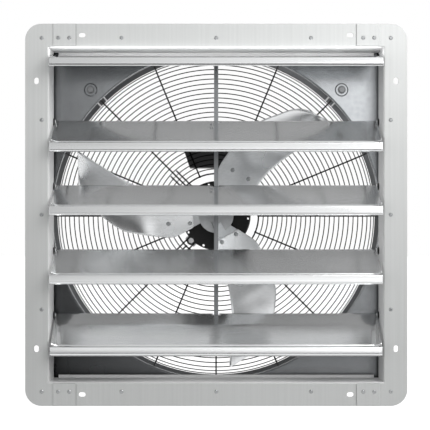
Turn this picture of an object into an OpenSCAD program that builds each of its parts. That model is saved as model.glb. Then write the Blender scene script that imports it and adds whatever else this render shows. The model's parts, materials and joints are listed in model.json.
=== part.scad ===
// Shutter exhaust fan: a square wall frame with five linked gravity louvres, a shallow
// housing with a round orifice, a three-blade fan and a motor carried by a wire guard.
// The front faces -Y, +X is right as seen from the front and +Z is up.
// The origin is the centre of the wall face, which is the rear of the flange.

/* [Front frame] */
// Clear width and height between the shutter returns
opening_w = 622; // [560:1:680]
// Width of the flange strip round the opening
strip_w = 44; // [39:0.5:50]
// Outer corner radius of the flange
flange_r = 30; // [15:1:36]
// Sheet thickness of the front frame
frame_t = 1.5; // [1.2:0.1:1.8]
// Outside bend radius along the opening edge
frame_bend = 3; // [2.2:0.1:4]
// Depth of the shutter returns behind the wall face
return_d = 87; // [86:0.5:87]
// Length of the lap tabs that the side stiles fold over the rails
tab_l = 41; // [36:1:46]
// How far inside the opening a tab steps over its rail
joggle_in = 9; // [7:0.5:12]
// Height of the stop lip at the rear of the top rail
top_lip = 7; // [4:0.5:8]
// Height of the stop lip at the rear of the bottom rail
bottom_lip = 5.5; // [3:0.5:7]

/* [Wall slots and frame rivets] */
// Distance from a corner of the flange to the nearest slot centre, along its edge
slot_corner = 106; // [103:1:115]
// Distance of the slot centres outside the opening
slot_out = 23; // [20:0.5:25]
// Overall length of a mounting slot
slot_l = 12.7; // [10:0.1:16]
// Width of a mounting slot
slot_w = 8.6; // [6:0.1:9]
// Distance of the upper and lower rivet rows outside the opening
rivet_row_out = 17.6; // [15:0.1:20]
// Distance of the outer rivet columns outside the opening
rivet_col_out = 13.4; // [13:0.1:16]
// Places of the rivets along a side, from the middle
rivet_mid = 176; // [150:1:200]
// Shank radius of a flange rivet
rivet_r = 2; // [1.6:0.1:2.4]
// Head radius of a flange rivet
rivet_head_r = 3.6; // [3:0.1:4.2]

/* [Housing] */
// Gap between the shutter returns and the housing walls
housing_gap = 8.5; // [7.5:0.5:9.5]
// Sheet thickness of the housing
housing_t = 1.2; // [1:0.1:1.4]
// Depth of the housing from the wall face to the orifice panel
housing_d = 106; // [104:1:110]
// Least distance between the air orifice and the housing wall
orifice_margin = 4; // [4:0.5:11]
// Bend radius at the mouth of the orifice
mouth_r = 3; // [2:0.2:3.2]
// Depth of the turned edge of the orifice panel
edge_d = 14; // [12:1:18]
// Depth of the collar behind the orifice panel
collar_d = 9; // [6:0.5:12]

/* [Louvres] */
// Distance of the top pivot below the top return
top_gap = 10.4; // [10:0.1:12]
// Extra pitch that makes each louvre lap the next
louvre_lap = 2.5; // [1:0.1:3]
// Depth of the pivot line behind the wall face
pivot_y = 78; // [76:0.5:80]
// Sheet thickness of a louvre
louvre_t = 1; // [0.8:0.1:1.2]
// Clearance between a louvre end and the side return
louvre_side = 3.5; // [3.4:0.1:6]
// How far a plate reaches behind its pivot
louvre_back = 5; // [3:0.5:5.5]
// Part of the pitch that the flat plate leaves free for lip and clearance
louvre_short = 11.8; // [11.5:0.1:14]
// Width of the upper facet of the front lip
lip_w = 12; // [9:0.5:12.5]
// Width of the lower facet of the front lip
hem_w = 5; // [4:0.5:5.5]
// Angle of the lip below the plate
lip_a = 58; // [50:1:60]
// Width of the turned-up wing at the front corners
wing_w = 16; // [10:1:18]
// Angle by which the wings turn up from the plate
wing_a = 30; // [15:1:35]
// Radius of the pivot stubs
stub_r = 3; // [2.5:0.1:3.5]

/* [Louvre linkage] */
// Distance from a louvre pivot to its link pin
link_arm = 14; // [13:0.5:15]
// Direction of the link pins below the rear horizontal
link_a = 58; // [54:1:60]
// Radius of the link pins
pin_r = 1.5; // [1.2:0.1:1.8]
// Width of the channel-section tie bar
bar_w = 8; // [7:0.5:10]
// Depth of the tie bar
bar_d = 8; // [8:0.5:9]
// Wall of the tie bar
bar_t = 1; // [0.8:0.1:1.2]
// Upward play of a link pin in its slot
slot_up = 4; // [3.9:0.1:4.4]
// Downward play of a link pin in its slot
slot_down = 2.9; // [2.8:0.1:3.4]
// Sideways play of a link pin in its slot
slot_side = 1.1; // [1:0.05:1.2]

/* [Fan] */
// Gap between the orifice and the straight edge of a blade tip
tip_gap = 44.5; // [43.5:0.5:65]
// Depth of the blade roots behind the wall face
fan_y = 139; // [138:0.5:140]
// Pitch of the blade roots
root_pitch = 28; // [20:1:28]
// Pitch of the blade tips
tip_pitch = 21; // [16:1:26]
// Camber of the blades
camber = 9; // [4:0.5:10]
// Sheet thickness of a blade
blade_t = 2; // [1.5:0.1:2.5]
// Thickness of the three-arm spider
spider_t = 3; // [2:0.1:4]
// Radius of the spider boss
boss_r = 16; // [13:0.5:18]
// Radius of the motor shaft
shaft_r = 6; // [5:0.5:7]
// Direction of the first blade, anticlockwise from +X
blade_a = 59; // [0:1:119]

/* [Motor] */
// Radius of the cast end shields of the motor
motor_r = 68; // [66:0.5:69]
// Radius of the motor shell
shell_r = 60; // [58:0.5:61]
// Radius of the circle of the long motor bolts
motor_bolt_pcr = 69.4; // [69:0.1:70.5]
// Radius of the long motor bolts
motor_bolt_r = 3; // [2.5:0.1:3.2]
// Depth of the front face of the motor
motor_y = 167; // [167:0.5:169]
// Depth of each cast end shield
shield_d = 18; // [16:1:20]
// Air gap between rotor and stator
air_gap = 0.35; // [0.3:0.05:0.6]

/* [Guard] */
// Depth of the centre line of the radial wires
guard_y = 256; // [254:1:262]
// How far the rim of the guard lies outside the orifice
rim_out = 3.5; // [3.5:0.5:6]
// Lean of the basket side
side_a = 1; // [0.5:0.5:3]
// Radius of a radial wire
wire_r = 1.5; // [1:0.05:1.5]
// Radius of a ring wire
ring_wire_r = 1; // [0.8:0.05:1.2]
// Radius of the innermost ring
ring_first = 86; // [84:0.5:90]
// Distance between the face rings
ring_pitch = 9.6; // [9:0.1:12]
// Distance between the side rings
side_pitch = 12; // [12:1:20]
// Half the distance between paired mounting wires
pair_half = 8; // [7:0.5:9]
// Distance of the guard bolts outside the orifice
bolt_out = 26.7; // [24:0.1:29.5]

/* [Control box] */
// Width of the box at its top
ctrl_w = 130; // [120:1:140]
// Width of the box at its bottom
ctrl_base_w = 107; // [96:1:116]
// Height of the bottom of the box above the fan axis
ctrl_z = 98; // [96:1:102]
// Height of the box
ctrl_h = 92; // [80:1:100]
// Depth of the box
ctrl_d = 44; // [40:1:56]
// Wall of the box
ctrl_t = 2; // [1.5:0.1:3]

/* [Hidden] */

$fn = 96;
seat = 0.05; // gap between pieces that touch
fit = 0.05; // radial clearance of a running fit
press = 0.02; // radial gap of a press fit
louvre_count = 5;
radial_count = 16;
flange_w = opening_w + 2 * strip_w;
housing_w = opening_w + 2 * housing_gap;
half_f = flange_w / 2;
half_o = opening_w / 2;
half_h = housing_w / 2;
slot_pitch = flange_w - 2 * slot_corner;
slot_reach = opening_w + 2 * slot_out;
rivet_row = half_o + rivet_row_out;
rivet_col = half_o + rivet_col_out;
orifice_r = half_h - orifice_margin;
blade_tip = orifice_r - tip_gap;
rim_r = orifice_r + rim_out;
guard_bolt_pcr = orifice_r + bolt_out;
housing_out = half_h + housing_t;
flange_y = -housing_t - frame_t; // front face of the flange
tab_y = flange_y - frame_t; // front face of the lap tabs
joggle_x = half_o - joggle_in;
joggle_l = 3; // length of the sloped step at the joggle
rail_end = joggle_x - seat;
louvre_pitch = (opening_w - top_gap + louvre_lap) / louvre_count;
louvre_half = half_o - louvre_side;
plate_l = louvre_pitch - louvre_short;
// Slope of each louvre below the horizontal, as the air flow holds it
slopes = [6, 24, 21, 23.5, 29.5];
leader = 2; // index of the louvre that carries the tie bar
pin_dy = link_arm * cos(link_a);
pin_dz = -link_arm * sin(link_a);
tab_rivets = [joggle_x - 8.5, joggle_x - 29];
panel_rear = housing_d + housing_t;
rim_y = panel_rear + wire_r * 2 + ring_wire_r + 3 * seat;
bend_r = 30; // bend of the radial wires at the edge of the guard face
side_top_y = guard_y - bend_r + bend_r * sin(side_a);
blade_angles = [for (i = [0:2]) blade_a + 120 * i];
diagonals = [45, 135, 225, 315];
ctrl_y = guard_y + wire_r + 2 * ring_wire_r + 4 * seat;
motor_rear = guard_y - wire_r - seat;
housing_rivet_y = [25, 70]; // depths of the corner rivets of the housing
bush_r = 5;
bush_flange_r = 6.8;
bush_flange = 2.4;
guard_screw_r = 3;
lead_r = 3.2; // radius of the lead from the motor
thin = 0.02; // straight wire runs are this much thinner than the bends
bite = 0.3; // depth to which a straight run is set into a bend

function pivot_z(i) = half_o - top_gap - i * louvre_pitch;
function side_r(y) = rim_r - (y - panel_rear) * tan(side_a);

// Outline helpers. across() draws a front view (X, Z) and extrudes it from y0 to y1.
// along() draws a side view (Y, Z) and extrudes it from x0 to x1.
module across(y0, y1) {
    translate([0, y1, 0]) rotate([90, 0, 0]) linear_extrude(y1 - y0) children();
}
module along(x0, x1) {
    translate([x0, 0, 0]) rotate([90, 0, 90]) linear_extrude(x1 - x0) children();
}
module rod_y(r, y0, y1) { translate([0, y0, 0]) rotate([-90, 0, 0]) cylinder(r = r, h = y1 - y0); }
module rod_x(r, x0, x1) { translate([x0, 0, 0]) rotate([0, 90, 0]) cylinder(r = r, h = x1 - x0); }
module at(x, z) { translate([x, 0, z]) children(); }
module swing(a) { rotate([0, -a, 0]) children(); } // anticlockwise as seen from the front
module tube_y(ro, ri, y0, y1) {
    difference() {
        rod_y(ro, y0, y1);
        rod_y(ri, y0 - 1, y1 + 1);
    }
}
module round_square(w, r) {
    square([w - 2 * r, w], center = true);
    square([w, w - 2 * r], center = true);
    for (x = [-1, 1], z = [-1, 1]) translate([x, z] * (w / 2 - r)) circle(r);
}
module hexagon(across_flats) { circle(r = across_flats / sqrt(3), $fn = 6); }

// Thick line of sheet metal through a list of points
function unit(v) = v / norm(v);
function left_of(v) = [-v[1], v[0]];
function joint_normal(p, i) =
    i == 0 ? left_of(unit(p[1] - p[0])) :
    i == len(p) - 1 ? left_of(unit(p[i] - p[i - 1])) :
    let (a = left_of(unit(p[i] - p[i - 1])), b = left_of(unit(p[i + 1] - p[i])))
    (a + b) / (1 + a * b);
function sheet(p, t) = concat(
    [for (i = [0:len(p) - 1]) p[i] + joint_normal(p, i) * t / 2],
    [for (i = [len(p) - 1:-1:0]) p[i] - joint_normal(p, i) * t / 2]);

// Places of the flange rivets and the mounting slots
rivet_rows = [0, -rivet_mid, rivet_mid, -tab_rivets[0], tab_rivets[0], -tab_rivets[1], tab_rivets[1],
    -rivet_col, rivet_col];
rivet_points = concat(
    [for (x = rivet_rows, s = [-1, 1]) [x, s * rivet_row]],
    [for (z = [-rivet_mid, 0, rivet_mid], s = [-1, 1]) [s * rivet_col, z]]);
module slot_shape() {
    square([slot_l - slot_w, slot_w], center = true);
    for (s = [-1, 1]) translate([s * (slot_l - slot_w) / 2, 0]) circle(d = slot_w);
}
module slots() {
    for (a = [0, 90, 180, 270], s = [-1, 1])
        rotate(a) translate([s * slot_pitch / 2, slot_reach / 2]) slot_shape();
}
module flange_holes() {
    slots();
    for (p = rivet_points) translate(p) circle(rivet_r + seat);
}

// Front frame: the returns bend back from the flange with a rounded edge
module flange_ring(inner_half) {
    difference() {
        round_square(flange_w, flange_r);
        square(2 * inner_half, center = true);
        flange_holes();
    }
}
// Bent edge in a plan view: x runs outward from the opening, y runs back
module bend_arc() {
    c = half_o + frame_bend;
    intersection() {
        difference() {
            translate([c, flange_y + frame_bend]) circle(frame_bend);
            translate([c, flange_y + frame_bend]) circle(frame_bend - frame_t);
        }
        translate([half_o, flange_y]) square(frame_bend);
    }
}
module stile_profile() {
    bend_arc();
    translate([half_o, flange_y + frame_bend]) square([frame_t, return_d - flange_y - frame_bend]);
    // The rear edge turns outward and stiffens the return
    translate([half_o, return_d - frame_t]) square([half_h - half_o - 0.3, frame_t]);
}
module right_side() {
    flange_in = half_o + frame_bend;
    across(flange_y, -housing_t) intersection() {
        flange_ring(flange_in);
        translate([joggle_x, -half_f]) square([half_f, flange_w]);
    }
    difference() {
        translate([0, 0, -flange_in]) linear_extrude(2 * flange_in) stile_profile();
        for (i = [0:louvre_count - 1])
            translate([0, pivot_y, pivot_z(i)]) rod_x(bush_r + seat, half_o - 1, half_o + frame_t + 1);
    }
    // The bend runs on round the corners, as far as the rails
    for (s = [-1, 1]) scale([1, 1, s]) rotate([0, -90, 0]) translate([0, 0, -flange_in])
        linear_extrude(flange_in - joggle_x) bend_arc();
    for (s = [-1, 1]) difference() {
        intersection() {
            at(0, s > 0 ? flange_in : -half_f) linear_extrude(half_f - flange_in) polygon([
                [joggle_x - tab_l, flange_y], [joggle_x - tab_l, tab_y],
                [joggle_x, tab_y], [joggle_x + joggle_l, flange_y],
                [joggle_x + joggle_l, flange_y + 0.5], [joggle_x, flange_y + 0.5], [joggle_x, flange_y]]);
            across(tab_y - 1, 0) round_square(flange_w, flange_r);
        }
        across(tab_y - 1, 0) flange_holes();
    }
}
module right_stile() { color("lightgray") right_side(); }
module left_stile() { color("lightgray") mirror([1, 0, 0]) right_side(); }

// A rail lies under the tabs of both stiles; z runs outward from the opening
module rail(lip) {
    across(flange_y, -housing_t) intersection() {
        flange_ring(half_o + frame_bend);
        translate([-rail_end, half_o]) square([2 * rail_end, half_f]);
    }
    rotate([0, -90, 0]) translate([0, 0, -rail_end]) linear_extrude(2 * rail_end) bend_arc();
    // The return reaches from one side return to the other
    translate([-half_o + seat, flange_y + frame_bend, half_o])
        cube([2 * (half_o - seat), return_d - flange_y - frame_bend, frame_t]);
    // Stop lip at the rear
    across(return_d - frame_t, return_d)
        translate([-rail_end, half_o - lip]) square([2 * rail_end, lip + frame_t / 2]);
}
module top_rail() { color("lightgray") rail(top_lip); }
module bottom_rail() { color("lightgray") mirror([0, 0, 1]) rail(bottom_lip); }

// Rivets are flush with the wall face, so that the flange seats flat
module frame_rivets() {
    color("silver") for (p = rivet_points) {
        on_tab = abs(p[1]) == rivet_row && abs(p[0]) > joggle_x - tab_l && abs(p[0]) < joggle_x;
        face = on_tab ? tab_y : flange_y;
        at(p[0], p[1]) {
            rod_y(rivet_r, face, 0);
            translate([0, face - seat, 0]) rotate([90, 0, 0])
                cylinder(r1 = rivet_head_r, r2 = rivet_head_r * 0.6, h = 1.2);
            rod_y(rivet_r, face - seat - 0.5, face + 0.5);
        }
    }
}

// Housing: four folded side panels with flanges behind the front frame
tab_in = 14; // corner tabs of the side panels under the top and bottom panels
module housing_side() {
    across(-housing_t, 0) intersection() {
        flange_ring(half_h);
        translate([half_h, -half_f]) square([half_f, flange_w]);
    }
    difference() {
        translate([half_h, -housing_t, -half_h]) cube([housing_t, housing_d + housing_t, housing_w]);
        panel_holes();
    }
    for (s = [-1, 1]) difference() {
        translate([half_h - tab_in, 0, s * (half_h - housing_t / 2) - housing_t / 2])
            cube([tab_in + housing_t / 2, housing_d - 2, housing_t]);
        for (y = housing_rivet_y) translate([half_h - tab_in / 2, y, 0])
            cylinder(r = rivet_r + seat, h = housing_w, center = true);
        panel_holes();
    }
}
module housing_cap() {
    across(-housing_t, 0) intersection() {
        flange_ring(half_h);
        translate([-half_h + seat, half_h]) square([housing_w - 2 * seat, half_f]);
    }
    difference() {
        translate([-half_h, 0, half_h]) cube([housing_w, housing_d, housing_t]);
        for (s = [-1, 1], y = housing_rivet_y) translate([s * (half_h - tab_in / 2), y, 0])
            cylinder(r = rivet_r + seat, h = housing_w);
        panel_holes();
    }
    translate([-half_h + seat, -housing_t, half_h])
        cube([housing_w - 2 * seat, housing_t + 1, housing_t]);
}
module housing_right() { color("gray") housing_side(); }
module housing_left() { color("gray") mirror([1, 0, 0]) housing_side(); }
module housing_top() { color("gray") housing_cap(); }
module housing_bottom() { color("gray") mirror([0, 0, 1]) housing_cap(); }
module housing_rivets() {
    color("silver") for (x = [-1, 1], z = [-1, 1], y = housing_rivet_y)
        scale([x, 1, z]) translate([half_h - tab_in / 2, y, 0]) {
            translate([0, 0, half_h - housing_t - 1.5]) cylinder(r = rivet_r, h = 2 * housing_t + 3);
            translate([0, 0, housing_out + seat])
                cylinder(r1 = rivet_head_r, r2 = rivet_head_r * 0.6, h = 1.2);
            translate([0, 0, half_h - housing_t - seat - 1.5]) cylinder(r = rivet_r * 1.4, h = 1.5);
        }
}

// Orifice panel: a pan over the rear of the housing, with a bell mouth and a short collar
edge_y = housing_d - edge_d / 2;
panel_screw_x = [-220, 0, 220];
screw_r = 2.1;
module panel_holes() {
    for (a = [0:90:270], x = panel_screw_x) swing(a) translate([half_h - 5, edge_y, x])
        rod_x(screw_r + seat, 0, 12);
}
module orifice_panel() {
    out = housing_out + seat + housing_t;
    color("darkgray") difference() {
        union() {
            difference() {
                across(housing_d, panel_rear) square(2 * out, center = true);
                rod_y(orifice_r + mouth_r + 0.5, housing_d - 1, panel_rear + 1);
            }
            across(housing_d - edge_d, housing_d + seat) difference() {
                square(2 * out, center = true);
                square(2 * (out - housing_t), center = true);
            }
            // Bell mouth and collar
            rotate([-90, 0, 0]) rotate_extrude() {
                translate([orifice_r + mouth_r, housing_d]) square([1, housing_t]);
                translate([orifice_r, housing_d + mouth_r]) square([housing_t, collar_d - mouth_r]);
                intersection() {
                    difference() {
                        translate([orifice_r + mouth_r, housing_d + mouth_r]) circle(mouth_r);
                        translate([orifice_r + mouth_r, housing_d + mouth_r]) circle(mouth_r - housing_t);
                    }
                    translate([orifice_r, housing_d]) square(mouth_r);
                }
            }
            // Pressed seats of the guard bolts
            for (a = diagonals) swing(a) at(guard_bolt_pcr, 0) translate([0, housing_d - 2, 0])
                rotate([-90, 0, 0]) cylinder(r1 = 11, r2 = 13, h = 2.2);
        }
        for (a = diagonals) swing(a) at(guard_bolt_pcr, 0) {
            rod_y(guard_screw_r + seat, housing_d - 5, panel_rear + 1);
            translate([0, housing_d - 2 + housing_t, 0]) rotate([-90, 0, 0])
                cylinder(r1 = 9.8, r2 = 12, h = 2.5);
        }
        panel_holes();
    }
}
module panel_screws() {
    head_x = housing_out + seat + housing_t + seat;
    color("silver") for (a = [0:90:270], x = panel_screw_x) swing(a) translate([0, edge_y, x]) {
        rod_x(screw_r, half_h - 4, head_x + 0.5);
        translate([head_x, 0, 0]) rotate([0, 90, 0]) cylinder(r1 = 4, r2 = 2.8, h = 2);
    }
}

// Nylon bushes in the stile returns, two to each louvre
module pivot_bushes() {
    color("#202020") for (s = [-1, 1], i = [0:louvre_count - 1])
        translate([0, pivot_y, pivot_z(i)]) scale([s, 1, 1]) difference() {
            union() {
                rod_x(bush_r, half_o - 0.5, half_o + frame_t + 1.2);
                rod_x(bush_flange_r, half_o - bush_flange, half_o - seat);
            }
            rod_x(stub_r + fit, half_o - bush_flange - 1, half_o + frame_t + 3);
        }
}

// Louvre outline in its own side view: u runs forward along the plate, v is up from it.
// A groove runs just behind the lip, and the lip has a lower hem facet.
hem_a = lip_a + 30;
groove = 1.2;
lip_path = [
    [-louvre_back, 0], [plate_l - 8, 0], [plate_l - 6.5, -groove], [plate_l - 4, -groove],
    [plate_l - 2.5, 0], [plate_l, 0],
    [plate_l + lip_w * cos(lip_a), -lip_w * sin(lip_a)],
    [plate_l + lip_w * cos(lip_a) + hem_w * cos(hem_a), -lip_w * sin(lip_a) - hem_w * sin(hem_a)]];
// Sets a louvre drawn in (x, u, v) at its pivot, sloping down to the front
module louvre_frame(i) {
    translate([0, pivot_y, pivot_z(i)]) rotate([slopes[i], 0, 0]) children();
}
module louvre_profile() { mirror([1, 0]) polygon(sheet(lip_path, louvre_t)); }
module wing_plan(side) {
    // Plan of the part beyond the diagonal fold
    polygon([[side * louvre_half, louvre_back], [side * (louvre_half - wing_w), -plate_l + 2.5],
        [side * (louvre_half + 20), -plate_l + 2.5], [side * (louvre_half + 20), louvre_back]]);
}
module louvre(i) {
    louvre_frame(i) {
        difference() {
            along(-louvre_half, louvre_half) louvre_profile();
            translate([0, 0, -louvre_t]) linear_extrude(2 * louvre_t + 0.01) difference() {
                union() { wing_plan(-1); wing_plan(1); }
                translate([-louvre_half - 30, -plate_l - 30]) square([2 * louvre_half + 60, 32.5]);
            }
            // Clearance notch for the tie bar
            translate([-bar_w / 2 - 2.4, 1, -5]) cube([bar_w + 4.4, louvre_back + 5, 10]);
            for (u = bracket_rivet_u) translate([bracket_x, -u, -5])
                cylinder(r = small_rivet_r + seat, h = 10);
        }
        for (s = [-1, 1]) louvre_end(s);
    }
}
// Turned-up wing and the pivot ear with its stub
module louvre_end(s) {
    fold_a = atan2(wing_w, plate_l - 2.5 + louvre_back);
    fold_l = norm([wing_w, plate_l - 2.5 + louvre_back]);
    w = wing_w * cos(fold_a);
    scale([s, 1, 1]) {
        // The wing turns up in two steps, so that its fold looks soft
        translate([louvre_half, louvre_back, 0]) rotate([0, 0, -fold_a]) for (k = [0, 1])
            rotate([0, -wing_a * (k + 1) / 2, 0]) translate([0, 0, -louvre_t / 2 + k * 0.3])
                intersection() {
                    linear_extrude(louvre_t) polygon([[0, 0], [0, -fold_l], [w * 0.96, -fold_l]]);
                    translate([0, -fold_l, -1]) cube([w * (k + 1) / 2, fold_l, 5]);
                }
        along(louvre_half - 1.5, louvre_half) {
            circle(4.6);
            translate([-6, 0]) square([10, louvre_t / 2]);
        }
        rod_x(stub_r, louvre_half - 1, half_o + frame_t + 2.4);
    }
}

// Link bracket under a louvre: a riveted flange, an ear and a peened pin through the tie bar
bracket_t = 1.4;
ear_x = -bar_w / 2 - seat * 8 - bracket_t;
bracket_flange = 9;
bracket_rivet_u = [15, 33];
bracket_x = ear_x + bracket_t - bracket_flange / 2;
small_rivet_r = 1.6;
module bracket_sheet(i) {
    // Pin place in the louvre's own side view
    c = cos(slopes[i]);
    s = sin(slopes[i]);
    pin = [pin_dy * c + pin_dz * s, -pin_dy * s + pin_dz * c];
    v = -louvre_t / 2 - seat;
    louvre_frame(i) {
        difference() {
            translate([ear_x + bracket_t - bracket_flange, -40, v - bracket_t])
                cube([bracket_flange, 36, bracket_t]);
            for (u = bracket_rivet_u) translate([bracket_x, -u, v - bracket_t - 1])
                cylinder(r = small_rivet_r + seat, h = 4);
        }
        along(ear_x, ear_x + bracket_t) {
            polygon([[-26, v], [-4, v], pin + [3, -2.6], pin + [-3.4, -2]]);
            translate(pin) circle(4);
        }
    }
    translate([0, pivot_y + pin_dy, pivot_z(i) + pin_dz]) {
        rod_x(pin_r, ear_x + 0.5, bar_w / 2 + 1.4);
        rod_x(pin_r + 1.1, bar_w / 2 + 0.4, bar_w / 2 + 1.4);
    }
}
module bracket(i) { color("silver") bracket_sheet(i); }
module bracket_rivets(i) {
    color("silver") louvre_frame(i) for (u = bracket_rivet_u) translate([bracket_x, -u, 0]) {
        translate([0, 0, -louvre_t / 2 - bracket_t - 1])
            cylinder(r = small_rivet_r, h = bracket_t + louvre_t + 1.5 + seat);
        translate([0, 0, louvre_t / 2 + seat]) cylinder(r1 = 3, r2 = 1.9, h = 1);
        translate([0, 0, -louvre_t / 2 - 2 * seat - bracket_t - 1]) cylinder(r = 2.4, h = 1);
    }
}

// Tie bar: a channel with its web to the front, slotted so that each louvre has some play
module tie_bar() {
    y0 = pivot_y + pin_dy - bar_d / 2;
    z0 = pivot_z(louvre_count - 1) + pin_dz - slot_down - pin_r - 3;
    z1 = pivot_z(0) + pin_dz + slot_up + pin_r + 1.6;
    color("gray") difference() {
        translate([-bar_w / 2, y0, z0]) cube([bar_w, bar_d, z1 - z0]);
        translate([-bar_w / 2 + bar_t, y0 + bar_t, z0 - 1]) cube([bar_w - 2 * bar_t, bar_d, z1 - z0 + 2]);
        for (i = [0:louvre_count - 1]) translate([0, pivot_y + pin_dy, pivot_z(i) + pin_dz])
            if (i == leader) rod_x(pin_r + fit, -bar_w, bar_w);
            else along(-bar_w, bar_w) {
                r = pin_r + slot_side;
                translate([0, slot_up - slot_side]) circle(r);
                translate([0, -slot_down + slot_side]) circle(r);
                translate([-r, -slot_down + slot_side])
                    square([2 * r, slot_up + slot_down - 2 * slot_side]);
            }
    }
}

// Blade outline: distance along the arm against the offset of the leading and trailing edge
lead_edge = [[44, 24], [62, 34], [81, 43], [117, 43], [158, 38], [180, 34], [208, 18], [232, -1],
    [258, -24], [266, -37], [271, -56]];
trail_edge = [[44, -24], [62, -32], [81, -37], [117, -42], [150, -52], [179, -64], [221, -89],
    [250, -107], [266, -117], [271, -119]];
blade_stations = [44, 62, 83, 104, 116, 128, 144, 160, 176, 192, 208, 224, 240, 254, 264, 271];
blade_strips = 8;
// Rivets of a blade: distance along the arm and offset in the pitched plane
blade_rivet_points = [[51, -18], [51, 18], [93, -20], [93, 20]];
blade_rivet_r = 2.4;
arm_y = blade_t / 2 + seat; // front of a spider arm behind the blade's mid plane
design_tip = 271; // tip distance at which the outline is drawn
flat_end = 104; // the root stays flat to here, under the spider arm
function ramp(s) = let (t = min(1, max(0, (s - flat_end) / 66))) t * t * (3 - 2 * t);
function blade_mid(s) = ramp(s) * (lookup(s, lead_edge) + lookup(s, trail_edge)) / 2;
function blade_pitch(s) = root_pitch + (tip_pitch - root_pitch) * ramp(s);
function blade_y(s, w) =
    let (mid = blade_mid(s), q = (w - mid) / (lookup(s, lead_edge) - lookup(s, trail_edge)) * 2)
    (w - mid) * tan(blade_pitch(s)) + ramp(s) * camber * (1 - q * q);
function blade_point(s, k, off) =
    let (w = lookup(s, trail_edge) + (lookup(s, lead_edge) - lookup(s, trail_edge)) * k / blade_strips,
        stretch = (blade_tip - flat_end) / (design_tip - flat_end))
    [s <= flat_end ? s : flat_end + (s - flat_end) * stretch, blade_y(s, w) + off, w];
module blade() {
    n = len(blade_stations);
    m = blade_strips + 1;
    half = blade_t / 2 / cos(root_pitch);
    points = [for (side = [-1, 1], s = blade_stations, k = [0:blade_strips])
        blade_point(s, k, side * half)];
    function id(side, i, k) = side * n * m + i * m + k;
    function quad(a, b, c, d) = [[a, b, c], [a, c, d]];
    faces = concat(
        [for (i = [0:n - 2], k = [0:m - 2])
            each quad(id(0, i, k), id(0, i + 1, k), id(0, i + 1, k + 1), id(0, i, k + 1))],
        [for (i = [0:n - 2], k = [0:m - 2])
            each quad(id(1, i, k), id(1, i, k + 1), id(1, i + 1, k + 1), id(1, i + 1, k))],
        [for (i = [0:n - 2])
            each quad(id(0, i, 0), id(1, i, 0), id(1, i + 1, 0), id(0, i + 1, 0))],
        [for (i = [0:n - 2])
            each quad(id(0, i, m - 1), id(0, i + 1, m - 1), id(1, i + 1, m - 1), id(1, i, m - 1))],
        [for (k = [0:m - 2])
            each quad(id(0, 0, k), id(0, 0, k + 1), id(1, 0, k + 1), id(1, 0, k))],
        [for (k = [0:m - 2])
            each quad(id(0, n - 1, k), id(1, n - 1, k), id(1, n - 1, k + 1), id(0, n - 1, k + 1))]);
    difference() {
        translate([0, fan_y, 0]) polyhedron(points, faces);
        spider_frame() for (p = blade_rivet_points) at(p[0], p[1]) rod_y(blade_rivet_r + seat, -9, 9);
    }
}
module spider_frame() { translate([0, fan_y, 0]) rotate([-root_pitch, 0, 0]) children(); }
module blade_n(i) { color("silver") swing(blade_angles[i]) blade(); }
module spider_arm() {
    spider_frame() across(arm_y, arm_y + spider_t) difference() {
        polygon([[4, -14], [30, -18], [44, -27], [100, -28], [104, -24], [104, 24], [100, 28],
            [44, 27], [30, 18], [4, 14]]);
        for (p = blade_rivet_points) translate(p) circle(blade_rivet_r + seat);
    }
}
module spider() {
    color("gray") difference() {
        union() {
            rod_y(boss_r, fan_y - 14, fan_y + 12);
            rod_y(34, fan_y + 2, fan_y + 2 + spider_t);
            for (a = blade_angles) swing(a) spider_arm();
        }
        rod_y(shaft_r + press, fan_y - 40, fan_y + 40);
        translate([0, fan_y - 8, 0]) cylinder(r = 2.5 + seat, h = boss_r + 2);
    }
}
module blade_rivets() {
    back = arm_y + spider_t;
    color("lightgray") for (a = blade_angles, p = blade_rivet_points)
        swing(a) spider_frame() at(p[0], p[1]) {
            rod_y(blade_rivet_r, -blade_t / 2 - 0.5, back + 0.5);
            translate([0, -blade_t / 2 - seat * 2, 0]) rotate([90, 0, 0])
                cylinder(r1 = 4.6, r2 = 2.8, h = 1.6);
            translate([0, back + seat, 0]) rotate([-90, 0, 0]) cylinder(r1 = 4, r2 = 3, h = 1.4);
        }
}
module hub_screw() {
    color("#303030") translate([0, fan_y - 8, 0]) difference() {
        translate([0, 0, shaft_r + seat]) cylinder(r = 2.5, h = boss_r - shaft_r);
        translate([0, 0, boss_r - 2]) linear_extrude(4) hexagon(2.5);
    }
}

// Motor: two cast shields clamp the shell with long bolts that also hold the guard
module shaft() {
    color("silver") {
        rod_y(shaft_r, fan_y - 18, motor_rear - 4);
        translate([0, fan_y - 19, 0]) rotate([-90, 0, 0]) cylinder(r1 = shaft_r - 1, r2 = shaft_r, h = 1.001);
    }
}
bearing_r = 16;
rim_holes = [for (k = [0:9]) if (k % 5 != 2) 247 + 36 * k];
rim_hole_r = 2.6;
bearing_w = 10;
shell_t = 2.5; // wall of the motor shell
shield_wall = 6;
shield_bore = shell_r - 5;
rotor_r = 36;
stator_bore = rotor_r + air_gap;
shell_y = [motor_y + shield_d, motor_rear - shield_d];
core_y = [shell_y[0] + 9, shell_y[1] - 12]; // ends of the stator core
lead_y = shell_y[1] - 5; // depth at which the lead leaves the shell
// Half section of a shield: distance from the axis against depth, with the bearing seat
function shield_profile(front) = concat(
    front ? [[shaft_r + 1, -8], [20, -8], [22.5, 0]] : [[shaft_r + 1, 0]],
    [[motor_r - 3, 0], [motor_r, 3], [motor_r, shield_d - seat], [shield_bore, shield_d - seat],
    [shield_bore, shield_wall], [bearing_r + 4, shield_wall], [bearing_r + 4, shield_wall + bearing_w],
    [bearing_r + press, shield_wall + bearing_w], [bearing_r + press, shield_wall],
    [shaft_r + 1, shield_wall]]);
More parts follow.
